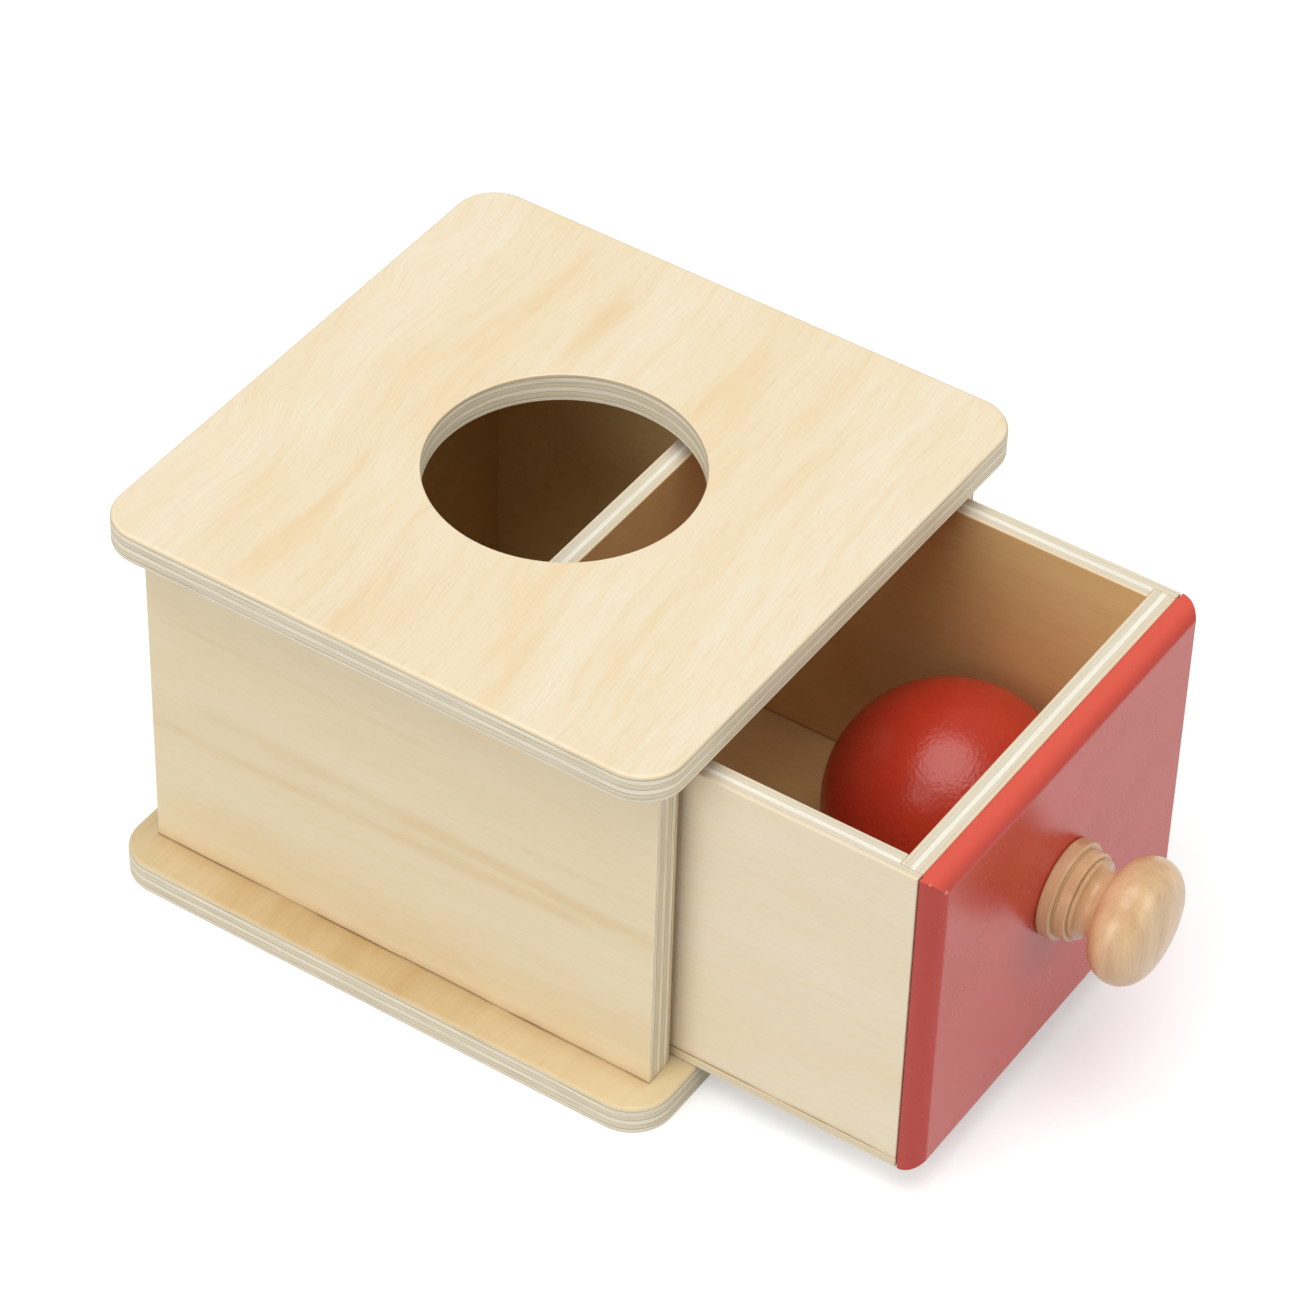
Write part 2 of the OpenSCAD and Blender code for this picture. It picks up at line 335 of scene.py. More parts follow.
def plywood(
    name, box, thin, grain, plies, glue, tones, shaded_inside, inner_side, seed, figure,
    lean=0.0, wander=0.0, streaks=(), seam=None,
):
    """Lacquered plywood: face veneers with grain along one axis, plies on the edges across the thin axis.

    tones are the veneer's colours, and the inside tones those on the face that looks along the thin axis as
    inner_side says: darker copies of the veneer, painted shade for the inner faces. figure is how strong the
    veneer's figure is, lean how far it slants, and wander how much more it bends towards the board's high
    side. streaks are single broad ones on the outer face: place beside the grain, slant, start, end, half
    width and strength. seam is a joint with a dark line and a darkening beside it, which is painted contact
    shade where the joint is an inner corner: axis, distance from the middle, reach, how strong the
    darkening is, the axis along which it runs and how far it runs either way.
    """
    low, high = box
    shade = Shade(name)
    place = shade.parts(shade.place())
    facing = shade.parts(shade.facing())
    across = X + Y + Z - thin - grain
    depth = (place[thin] - low[thin]) / (high[thin] - low[thin])
    along = place[grain]
    beside = place[across]
    flat = abs(facing[thin]).step(0.45, 0.95)
    inner = (facing[thin] * inner_side).step(0.2, 0.6)

    def grained(waves, side, offset, detail, rough=0.5, distortion=0.0):
        """Noise that is stretched along the grain."""
        where = shade.vector(along * waves[0], side * waves[1], seed + offset)
        return shade.noise(where, 1.0, detail, rough, distortion)

    # Figure of the face veneer: broad soft bands that wander, with fainter lines between them
    bend = grained(BEND_WAVES, beside, 0.0, 3.0) - 0.5
    bent = beside - along * lean + bend * (BEND_REACH + beside.step(WANDER_FROM, WANDER_FULL) * wander)
    cloud = grained(CLOUD_WAVES, bent, 3.0, 3.0, 0.55)
    mottle = grained(MOTTLE_WAVES, bent, 9.0, 3.0, 0.6, 0.3)
    line = grained(LINE_WAVES, bent, 17.0, 2.0, 0.55)
    fibre = grained(FIBRE_WAVES, bent, 0.0, 2.0, 0.6)
    fleck = grained(FLECK_WAVES, bent, 5.0, 1.0).step(0.64, 0.78)
    bands = cloud.step(0.36, 0.7) * CLOUD_WARMTH + mottle.step(0.36, 0.72) * MOTTLE_WARMTH
    warm = (bands + line.step(0.4, 0.7) * LINE_WARMTH) * figure
    dark = (line.step(0.5, 0.8) * LINE_DARK + fibre.step(0.4, 0.75) * FIBRE_DARK) * figure
    for at, slant, start, end, wide, strength in streaks:
        off = abs(beside + bend * STREAK_BEND - along * slant - at)
        fade = wide * STREAK_FADE
        within = along.step(start, start + fade) * (1.0 - along.step(end - fade, end))
        patch = 0.6 + mottle.step(0.3, 0.65) * 0.4
        dark = dark + (1.0 - off.step(0.0, wide)) * within * patch * (1.0 - inner) * strength

    def veneer(pale, tan, streak):
        face = shade.mix(warm, pale, tan)
        face = shade.mix(dark, face, streak)
        return shade.mix(fleck * FLECK_DARK, face, FLECK)

    # Faces turned inwards take the darker inside tones: painted shade
    face = shade.mix(inner, veneer(*tones), veneer(*shaded_inside))

    # Plies on the edges, a little wavy, with fine streaks along each layer
    sway = shade.noise(shade.vector(along * SWAY_WAVES, beside * SWAY_WAVES, seed)) - 0.5
    layer = depth + sway * PLY_SWAY
    edge = shade.ramp(layer, ply_stops(plies, glue))
    run_at = shade.vector(along * RUN_WAVES, beside * RUN_WAVES, layer * RUNS_DEEP + seed)
    run = shade.noise(run_at, rough=0.65)
    edge = shade.mix(run.step(0.45, 0.75) * RUN_SHARE, edge, glue)
    pit_at = shade.vector(along * PIT_WAVES, beside * PIT_WAVES, depth * PITS_DEEP)
    pit = shade.noise(pit_at, detail=1.0).step(0.66, 0.76)
    edge = shade.mix(pit * PIT_SHARE, edge, PIT)

    colour = shade.mix(flat, edge, face)
    # Darkening beside the joint and a dark joint line; where the joint is an inner corner the darkening is
    # painted contact shade
    if seam:
        axis, seam_at, reach, stain, run_axis, run_out = seam
        off = abs(abs(place[axis]) - seam_at)
        within = 1.0 - abs(place[run_axis]).step(run_out, run_out + SEAM_END)
        seam_uneven_at = shade.vector(place[run_axis] * SEAM_UNEVEN_WAVES, seed, 0.0)
        seam_uneven = shade.noise(seam_uneven_at, rough=0.6).step(0.36, 0.6)
        seam_darkening = (1.0 - off.step(0.0, reach)) * within
        colour = shade.mix(seam_darkening * (0.4 + seam_uneven * 0.6) * stain, colour, STAIN_AND_CORNER_SHADE)
        dirt = (1.0 - off.step(SEAM_CORE, SEAM_EDGE)) * within
        plain = 0.5 + stain * 1.2
        colour = shade.mix(dirt * (0.1 + seam_uneven * 0.6) * plain, colour, SEAM_LINE)
    sheen = BOARD_SHEEN + fibre * FIBRE_DULLER + (1.0 - flat) * EDGE_DULLER
    relief = fibre * flat + run * (1.0 - flat) * EDGE_RELIEF
    normal = shade.bump(relief, GRAIN_STRENGTH, GRAIN_DEEP)
    return shade.finish(Base_Color=colour, Roughness=sheen, Normal=normal)


# Paint, turned wood and metal

FACE_RED = srgb(203, 57, 41)
# Deeper tone for uneven cover, also used as painted shade on the sides of the drawer's face
FACE_DEEP = srgb(172, 46, 32)
BALL_RED = srgb(200, 60, 40)
BALL_DEEP = srgb(170, 44, 29)
DUST_RED = srgb(226, 110, 96)
RUBBED_RED = srgb(240, 176, 156)
# Painted shade on the face's round as it turns up, and painted light on the faces turned up
ROUND_SHADE_RED = srgb(192, 68, 54)
TOP_LIGHT_RED = srgb(229, 94, 76)
BARE_RED = srgb(238, 160, 136)
COVER_WAVES = 60.0
DUST_WAVES = 900.0
RUB_WAVES = 1300.0
TEAR_WAVES = 1500.0
TEAR_REACH = 1.4 * MM
COVER_UNEVEN = 0.08
PEEL_DEEP = 0.4 * MM

BEECH_PALE = srgb(236, 203, 159)
BEECH_RING = srgb(212, 171, 126)
BEECH_FIBRE = srgb(192, 148, 102)
BEECH_FLECK = srgb(176, 128, 86)
BEECH_SHEEN = 0.24
BEECH_STRENGTH = 0.06

DOWEL_PALE = srgb(214, 178, 134)
DOWEL_TAN = srgb(186, 146, 102)
DOWEL_ROUGH = 0.7
ZINC_PALE = srgb(206, 206, 208)
ZINC_DARK = srgb(172, 172, 176)
ZINC_ROUGH = 0.28


def red_paint(name, colour, deep, rough, peel_waves, peel_strength, chips=None):
    """Satin paint with faint orange peel and slightly uneven cover.

    With chips, which are places and sizes of spots where the paint has come off, it is also rubbed along its
    edges, and painted light and shade are added to its tone: deeper on the sides and on the round as it turns
    up, which is painted shade, and paler towards the top, which is painted light.
    """
    shade = Shade(name)
    place = shade.place()
    peel = shade.noise(place, peel_waves)
    cover = shade.noise(place, COVER_WAVES, 3.0, 0.6)
    tone = shade.mix(cover.step(0.35, 0.75) * 0.2, colour, deep)
    dust = shade.noise(place, DUST_WAVES, 1.0).step(0.72, 0.82)
    tone = shade.mix(dust * 0.05, tone, DUST_RED)
    if chips:
        facing = shade.parts(shade.facing())
        straight = abs(facing[X]).larger(abs(facing[Y])).larger(abs(facing[Z]))
        worn = shade.noise(place, RUB_WAVES, 1.0).step(0.71, 0.77)
        rubbed = worn * (1.0 - straight.step(0.8, 0.99))
        tone = shade.mix(rubbed * 0.3, tone, RUBBED_RED)
        # Painted shade: a deeper tone on the faces turned sideways
        tone = shade.mix(abs(facing[X]).step(0.25, 0.85) * 0.6, tone, deep)
        # Painted shade on the round as it turns up, then painted light on the faces turned up
        tone = shade.mix(facing[Z].step(0.2, 0.5) * 0.9, tone, ROUND_SHADE_RED)
        tone = shade.mix(facing[Z].step(0.5, 1.0) * 0.9, tone, TOP_LIGHT_RED)
        torn = (shade.noise(place, TEAR_WAVES) - 0.5) * TEAR_REACH
        for chip_at, size in chips:
            away = shade.distance(place, chip_at)
            bare = 1.0 - (away + torn).step(size * 0.8, size * 1.2)
            tone = shade.mix(bare * 0.6, tone, BARE_RED)
    sheen = rough + (cover - 0.5) * COVER_UNEVEN
    normal = shade.bump(peel, peel_strength, PEEL_DEEP)
    return shade.finish(Base_Color=tone, Roughness=sheen, Normal=normal)


def turned_beech(name, centre, seed):
    """Lacquered beech, grain across the knob's axis, with the short darker flecks of beech."""
    shade = Shade(name)
    place = shade.parts(shade.place())
    along = place[Z] - centre[Z]
    beside = place[X] - centre[X]
    deep = place[Y] - centre[Y]

    def grained(waves_along, waves_across):
        """A place for noise that is stretched along the grain."""
        return shade.vector(along * waves_along, beside * waves_across, deep * waves_across)

    sway = shade.noise(grained(25.0, 25.0), detail=1.0) - 0.5
    ring_at = shade.vector(along * 14.0, (beside + sway * 0.006) * 110.0, deep * 110.0 + seed)
    rings = shade.noise(ring_at, detail=3.0)
    fibre = shade.noise(grained(120.0, 1300.0), rough=0.6)
    flecks = shade.noise(grained(260.0, 1100.0), detail=1.0).step(0.64, 0.76)
    tone = shade.mix(rings.step(0.32, 0.68), BEECH_PALE, BEECH_RING)
    tone = shade.mix(fibre.step(0.42, 0.75) * 0.22, tone, BEECH_FIBRE)
    tone = shade.mix(flecks * 0.16, tone, BEECH_FLECK)
    sheen = BEECH_SHEEN + fibre * FIBRE_DULLER
    normal = shade.bump(fibre, BEECH_STRENGTH, GRAIN_DEEP)
    return shade.finish(Base_Color=tone, Roughness=sheen, Normal=normal)


def plain_dowel(name):
    """Raw beech of the hidden dowels."""
    shade = Shade(name)
    fibre = shade.noise(shade.place(), 700.0)
    tone = shade.mix(fibre.step(0.35, 0.7), DOWEL_PALE, DOWEL_TAN)
    return shade.finish(Base_Color=tone, Roughness=DOWEL_ROUGH)


def screw_steel(name):
    """Bright zinc with fine turning marks."""
    shade = Shade(name)
    marks = shade.noise(shade.place(), 1600.0)
    tone = shade.mix(marks.step(0.3, 0.7), ZINC_PALE, ZINC_DARK)
    return shade.finish(Base_Color=tone, Metallic=1.0, Roughness=ZINC_ROUGH + marks * 0.2)


# Mesh helpers

TINY = 1e-6
MERGE_WITHIN = 1e-7
SMOOTH_UP_TO = 50.0
BOARD_CORNER = 40.0
RIM_CORNER = 60.0
EASE_STEPS = 3
RIM_STEPS = 4
CORNER_STEPS = 23
HOLE_STEPS = 4 * (CORNER_STEPS + 1)


def sharp_edges(bm, least_degrees):
    """Edges where two faces meet at a clear angle."""
    least = math.radians(least_degrees)
    return [e for e in bm.edges if len(e.link_faces) == 2 and e.calc_face_angle(0.0) > least]


def bevel(bm, edges, offset, segments):
    bmesh.ops.bevel(
        bm, geom=edges, offset=offset, offset_type="OFFSET", segments=segments,
        profile=0.5, affect="EDGES", material=-1, clamp_overlap=True,
    )


def raise_faces(bm, faces, height):
    """Extrudes faces straight up."""
    raised = bmesh.ops.extrude_face_region(bm, geom=faces)
    top_verts = [v for v in raised["geom"] if isinstance(v, bmesh.types.BMVert)]
    bmesh.ops.translate(bm, vec=Vector((0, 0, height)), verts=top_verts)
    bmesh.ops.recalc_face_normals(bm, faces=bm.faces)


def add_piece(name, bm, material, body, node):
    """Makes the finished mesh an object that stands for a CAD node and rides on its body."""
    bmesh.ops.remove_doubles(bm, verts=bm.verts, dist=MERGE_WITHIN)
    bmesh.ops.recalc_face_normals(bm, faces=bm.faces)
    mesh = bpy.data.meshes.new(name)
    for face in bm.faces:
        face.smooth = True
    bm.to_mesh(mesh)
    bm.free()
    mesh.set_sharp_from_angle(angle=math.radians(SMOOTH_UP_TO))
    mesh.materials.append(material)
    piece = bpy.data.objects.new(name, mesh)
    bpy.context.scene.collection.objects.link(piece)
    even = piece.modifiers.new("even_shading", "WEIGHTED_NORMAL")
    even.keep_sharp = True
    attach(piece, body)
    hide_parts(node)


def block(low, high):
    """A plain block between two corners."""
    bm = bmesh.new()
    bmesh.ops.create_cube(bm, size=1.0)
    bmesh.ops.scale(bm, vec=high - low, verts=bm.verts)
    bmesh.ops.translate(bm, vec=(low + high) / 2, verts=bm.verts)
    return bm


def board_mesh(low, high, ease):
    """A straight board with all its edges eased."""
    bm = block(low, high)
    bevel(bm, bm.edges[:], ease, EASE_STEPS)
    return bm


def plate_mesh(low, high, corner_r, top_rim, low_rim, hole_r=0.0, hole_rim=0.0):
    """A flat plate across Z with round corners, eased rims and, if asked, a round hole about the Z axis."""
    bm = bmesh.new()
    bmesh.ops.create_grid(bm, x_segments=1, y_segments=1, size=0.5)
    bmesh.ops.scale(bm, vec=Vector((high.x - low.x, high.y - low.y, 1.0)), verts=bm.verts)
    centre = (low + high) / 2
    bmesh.ops.translate(bm, vec=Vector((centre.x, centre.y, low.z)), verts=bm.verts)
    bmesh.ops.bevel(
        bm, geom=bm.verts[:], offset=corner_r, offset_type="OFFSET", segments=CORNER_STEPS,
        profile=0.5, affect="VERTICES", material=-1,
    )
    if hole_r:
        outline = bm.edges[:]
        bmesh.ops.delete(bm, geom=bm.faces[:], context="FACES_ONLY")
        level = Matrix.Translation((0, 0, low.z))
        ring = bmesh.ops.create_circle(bm, cap_ends=False, radius=hole_r, segments=HOLE_STEPS, matrix=level)
        hole_edges = list({e for v in ring["verts"] for e in v.link_edges})
        bmesh.ops.bridge_loops(bm, edges=outline + hole_edges)
    raise_faces(bm, bm.faces[:], high.z - low.z)

    def rim_edges(at_hole, level=None):
        """The edges round the top and bottom, of the hole or of the outside, or round one level alone."""
        found = []
        for edge in sharp_edges(bm, RIM_CORNER):
            a, b = edge.verts
            if abs(a.co.z - b.co.z) > TINY:
                continue
            if level is not None and abs(a.co.z - level) > TINY:
                continue
            near_hole = hole_r > 0 and a.co.xy.length < hole_r + hole_rim
            if near_hole == at_hole:
                found.append(edge)
        return found

    bevel(bm, rim_edges(False, high.z), top_rim, RIM_STEPS)
    bevel(bm, rim_edges(False, low.z), low_rim, RIM_STEPS)
    if hole_r:
        bevel(bm, rim_edges(True), hole_rim, RIM_STEPS)
    return bm


def outline_mesh(points, low_z, high_z, ease):
    """A straight piece whose outline from above has these corners, with its edges eased."""
    bm = bmesh.new()
    face = bm.faces.new([bm.verts.new((x, y, low_z)) for x, y in points])
    raise_faces(bm, [face], high_z - low_z)
    outward = [e for e in sharp_edges(bm, BOARD_CORNER) if e.is_convex]
    bevel(bm, outward, ease, EASE_STEPS)
    return bm


def arc(centre, radius, start, end, steps):
    """Points on an arc in the knob's half section, as (distance from the axis, distance along it)."""
    points = []
    for step in range(steps + 1):
        angle = math.radians(start + (end - start) * step / steps)
        points.append((centre[0] + radius * math.cos(angle), centre[1] + radius * math.sin(angle)))
    return points


def spun_mesh(outline, foot, steps):
    """Spins a half section about the line through foot that runs towards -Y."""
    bm = bmesh.new()
    verts = [bm.verts.new((foot.x + away, foot.y - along, foot.z)) for away, along in outline]
    edges = [bm.edges.new(pair) for pair in zip(verts, verts[1:])]
    bmesh.ops.spin(
        bm, geom=verts + edges, cent=foot, axis=(0, 1, 0), angle=math.tau, steps=steps,
        use_merge=True, dvec=(0, 0, 0),
    )
    return bm


# Carcass

PLATE_CORNER = 12.5 * MM
PLATE_RIM = 1.3 * MM
LOW_RIM = 0.6 * MM
HOLE_RIM = 0.4 * MM
HOLE_R = 37.5 * MM
BOARD_EASE = 0.18 * MM

TOP_FIGURE = 0.9
TOP_LEAN = 0.08
TOP_WANDER = 40 * MM
SIDE_FIGURE = 0.5

# Streaks of each board: place beside the grain, slant, start, end, half width and strength
TOP_STREAKS = (
    (19.0 * MM, 0.1, 22 * MM, 76 * MM, 6.0 * MM, 0.4),
    (43.5 * MM, 0.01, -80 * MM, 84 * MM, 2.6 * MM, 0.22),
    (14.0 * MM, 0.05, -130 * MM, -20 * MM, 20.0 * MM, 0.3),
    (-33.0 * MM, 0.0, -37 * MM, -17 * MM, 2.6 * MM, 0.4),
)
LEFT_STREAKS = (
    (62.0 * MM, 0.031, -100 * MM, 72 * MM, 4.2 * MM, 0.42),
    (53.2 * MM, -0.014, -64 * MM, 100 * MM, 3.8 * MM, 0.42),
    (57.8 * MM, 0.01, -100 * MM, 100 * MM, 8.0 * MM, 0.16),
    (91.0 * MM, 0.0, -10 * MM, 76 * MM, 1.4 * MM, 0.22),
    (70.0 * MM, -0.02, -90 * MM, -36 * MM, 1.8 * MM, 0.26),
    (20.0 * MM, 0.0, -150 * MM, 110 * MM, 24.0 * MM, 0.4),
)
RIGHT_STREAKS = (
    (46.0 * MM, 0.02, -80 * MM, 40 * MM, 2.4 * MM, 0.6),
    (83.0 * MM, -0.03, -50 * MM, 84 * MM, 2.0 * MM, 0.6),
)
BASE_STREAKS = (
    (18.0 * MM, 0.0, -400 * MM, 400 * MM, 95.0 * MM, 0.75),
    (-8.0 * MM, 0.0, -200 * MM, 200 * MM, 9.0 * MM, 0.2),
    (-28.0 * MM, 0.02, -200 * MM, 200 * MM, 3.0 * MM, 0.15),
    (36.0 * MM, 0.0, -200 * MM, 200 * MM, 3.4 * MM, 0.2),
)

# Seams of the carcass, with painted contact shade in the inner corner between a board and the base: axis,
# distance from the middle, reach, how strong the darkening is, the axis along which it runs and how far
BASE_SHADED_SEAM = (X, 75 * MM, 6 * MM, 0.35, Y, 80.5 * MM)
SIDE_SHADED_SEAM = (Z, 9 * MM, 4 * MM, 0.35, Y, 90 * MM)


def carcass_finish(node, thin, grain, tones, inner_side, seed, figure, shaded_inside=BAY_SHADE_TONES, **marks):
    """Carcass plywood for a node; marks are the lean, wander, streaks and seam that it has."""
    return plywood(
        node + "_finish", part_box(node), thin, grain, CARCASS_PLIES, CARCASS_GLUE, tones, shaded_inside,
        inner_side, seed, figure, **marks,
    )


low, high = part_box("top_panel")
top_finish = carcass_finish(
    "top_panel", Z, X, PALE_TONES, inner_side=-1, seed=2.0, figure=TOP_FIGURE,
    lean=TOP_LEAN, wander=TOP_WANDER, streaks=TOP_STREAKS,
)
top_bm = plate_mesh(low, high, PLATE_CORNER, PLATE_RIM, LOW_RIM, HOLE_R, HOLE_RIM)
add_piece("top_plate", top_bm, top_finish, "box", "top_panel")

low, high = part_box("base_panel")
base_finish = carcass_finish(
    "base_panel", Z, X, BASE_TONES, inner_side=0, seed=14.0, figure=SIDE_FIGURE,
    streaks=BASE_STREAKS, seam=BASE_SHADED_SEAM,
)
base_bm = plate_mesh(low, high, PLATE_CORNER, PLATE_RIM, LOW_RIM)
add_piece("base_plate", base_bm, base_finish, "box", "base_panel")

# The right board's inner face takes lighter inside tones than the others: painted light from the hole
for node, name, seed, inner_side, streaks, shaded_inside in (
    ("left_side_panel", "left_side_board", 21.0, 1, LEFT_STREAKS, BAY_SHADE_TONES),
    ("right_side_panel", "right_side_board", 35.0, -1, RIGHT_STREAKS, RIGHT_INSIDE_HALF_LIT),
):
    low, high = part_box(node)
    side_finish = carcass_finish(
        node, X, Y, SIDE_TONES, inner_side, seed, SIDE_FIGURE, shaded_inside, streaks=streaks, seam=SIDE_SHADED_SEAM,
    )
    add_piece(name, board_mesh(low, high, BOARD_EASE), side_finish, "box", node)

low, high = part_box("back_panel")
back_finish = carcass_finish(
    "back_panel", Y, X, SIDE_TONES, inner_side=-1, seed=44.0, figure=SIDE_FIGURE, seam=SIDE_SHADED_SEAM,
)
add_piece("back_board", board_mesh(low, high, BOARD_EASE), back_finish, "box", "back_panel")


# Drawer

REBATE_LIP = 2.5 * MM
DRAWER_EASE = 0.4 * MM
BOTTOM_EASE = 0.3 * MM
DRAWER_FIGURE = 0.5
BOTTOM_SEAM = (Z, 12.4 * MM, 2.0 * MM, 0.5, Y, 200 * MM)


def drawer_finish(node, thin, grain, plies, inner_side, seed, seam=None):
    return plywood(
        node + "_finish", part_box(node), thin, grain, plies, DRAWER_GLUE, PALE_TONES, INNER_SHADE_TONES,
        inner_side, seed, figure=DRAWER_FIGURE, seam=seam,
    )


front_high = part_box("drawer_front_panel")[1]
back_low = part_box("drawer_back_panel")[0]
for node, name, seed, inner_side in (
    ("drawer_left_side", "drawer_left_board", 51.0, 1),
    ("drawer_right_side", "drawer_right_board", 63.0, -1),
):
    low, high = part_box(node)
    outer_x = low.x if inner_side > 0 else high.x
    inner_x = high.x if inner_side > 0 else low.x
    lip_x = outer_x + inner_side * REBATE_LIP
    corners = [
        (outer_x, low.y), (lip_x, low.y), (lip_x, front_high.y), (inner_x, front_high.y),
        (inner_x, back_low.y), (lip_x, back_low.y), (lip_x, high.y), (outer_x, high.y),
    ]
    side_finish = drawer_finish(node, X, Y, DRAWER_PLIES, inner_side, seed, BOTTOM_SEAM)
    side_bm = outline_mesh(corners, low.z, high.z, DRAWER_EASE)
    add_piece(name, side_bm, side_finish, "drawer", node)

for node, name, seed, inner_side in (
    ("drawer_front_panel", "drawer_front_board", 72.0, 1),
    ("drawer_back_panel", "drawer_back_board", 83.0, -1),
):
    low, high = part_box(node)
    cross_finish = drawer_finish(node, Y, X, DRAWER_PLIES, inner_side, seed)
    add_piece(name, board_mesh(low, high, DRAWER_EASE), cross_finish, "drawer", node)

low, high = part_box("drawer_bottom")
bottom_finish = drawer_finish("drawer_bottom", Z, Y, BOTTOM_PLIES, inner_side=1, seed=95.0)
bottom_bm = board_mesh(low, high, BOTTOM_EASE)
add_piece("drawer_floor", bottom_bm, bottom_finish, "drawer", "drawer_bottom")


# Painted face: its front edges are rounded up to a crease, and a narrow joint line parts it from the drawer

ROUND_R = 7.2 * MM
ROUND_TURN = 62.0
ROUND_STEPS = 10
CREASE_EASE = 0.35 * MM
CREASE_STEPS = 3
JOINT_WIDE = 0.45 * MM
JOINT_DEEP = 2.0 * MM
JOINT_TOP = 0.25 * MM
PAINT_EASE = 0.3 * MM
PAINT_STEPS = 2
PAINT_CORNER = 35.0
FACE_ROUGH = 0.27
FACE_PEEL_WAVES = 500.0
FACE_PEEL = 0.008

# Chips at the near top corner: distance in from the corner, distance back from the front, and size
CHIPS = (
    (0.5 * MM, 3.8 * MM, 0.45 * MM),
    (3.2 * MM, 0.4 * MM, 0.5 * MM),
)


def face_mesh(low, high):
    """A board across Y: a pad that meets the drawer, a joint line round it, and the rounded front."""
    arc_long = ROUND_R * math.sin(math.radians(ROUND_TURN))
    bm = block(Vector((low.x, low.y + arc_long, low.z)), Vector((high.x, high.y - JOINT_WIDE, high.z)))
    front = min(bm.faces, key=lambda f: f.calc_center_median().y)
    rear = max(bm.faces, key=lambda f: f.calc_center_median().y)

    # The front steps inwards and forwards along the arc
    inset = 0.0
    forward = 0.0
    for step in range(1, ROUND_STEPS + 1):
        angle = math.radians(ROUND_TURN) * step / ROUND_STEPS
        next_inset = ROUND_R * (1.0 - math.cos(angle))
        next_forward = ROUND_R * math.sin(angle)
        bmesh.ops.inset_region(
            bm, faces=[front], thickness=next_inset - inset, depth=next_forward - forward,
            use_boundary=True, use_even_offset=True,
        )
        inset = next_inset
        forward = next_forward

    # The pad behind is narrower than the board, least at the top
    bmesh.ops.inset_region(
        bm, faces=[rear], thickness=JOINT_TOP, depth=0.0, use_boundary=True, use_even_offset=True,
    )
    middle = (low + high) / 2
    narrower = JOINT_DEEP - JOINT_TOP
    for side in (-1, 1):
        edge_verts = [v for v in rear.verts if (v.co.x - middle.x) * side > 0]
        bmesh.ops.translate(bm, vec=Vector((-side * narrower, 0, 0)), verts=edge_verts)
    low_verts = [v for v in rear.verts if v.co.z < middle.z]
    bmesh.ops.translate(bm, vec=Vector((0, 0, narrower)), verts=low_verts)
    raised = bmesh.ops.extrude_discrete_faces(bm, faces=[rear])
    bmesh.ops.translate(bm, vec=Vector((0, JOINT_WIDE, 0)), verts=raised["faces"][0].verts)

    bmesh.ops.recalc_face_normals(bm, faces=bm.faces)
    bevel(bm, list(front.edges), CREASE_EASE, CREASE_STEPS)
    corners = [e for e in sharp_edges(bm, PAINT_CORNER) if e.is_convex]
    bevel(bm, corners, PAINT_EASE, PAINT_STEPS)
    return bm


face_low, face_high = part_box("drawer_face")
face_bm = face_mesh(face_low, face_high)
chips = [
    ((face_low.x + inset, face_low.y + back, face_high.z - inset), size) for inset, back, size in CHIPS
]
face_paint = red_paint("face_red", FACE_RED, FACE_DEEP, FACE_ROUGH, FACE_PEEL_WAVES, FACE_PEEL, chips)
add_piece("painted_face", face_bm, face_paint, "drawer", "drawer_face")


# Turned knob

FLANGE_R = 13.8 * MM
FLANGE_LONG = 4.4 * MM
COLLAR_R = 12.4 * MM
COLLAR_LONG = 3.8 * MM
SHOULDER_R = 11.2 * MM
SHOULDER_LONG = 0.8 * MM
NECK_R = 9.2 * MM
NECK_LONG = 4.9 * MM
NECK_TUCK = 1.8 * MM
NECK_END = 128.0
HEAD_R = 17.7 * MM
HEAD_LONG = 17.6 * MM
RIM_R = 7.4 * MM
GROOVE_DEEP = 0.3 * MM
GROOVE_WIDE = 0.3 * MM
SCREW_HOLE_R = 2.1 * MM
SCREW_HOLE_LONG = 13.8 * MM
DISC_EASE_STEPS = 5
WAIST_STEPS = 10
HEAD_RIM_STEPS = 20
DOME_STEPS = 14
KNOB_TURN_STEPS = 96


def disc_edge(radius, start, end):
    """Half section of a disc's rim between two places on the axis, with both edges eased."""
    ease = (end - start) / 6
    first = arc((radius - ease, start + ease), ease, -90, 0, DISC_EASE_STEPS)
    return first + arc((radius - ease, end - ease), ease, 0, 90, DISC_EASE_STEPS)


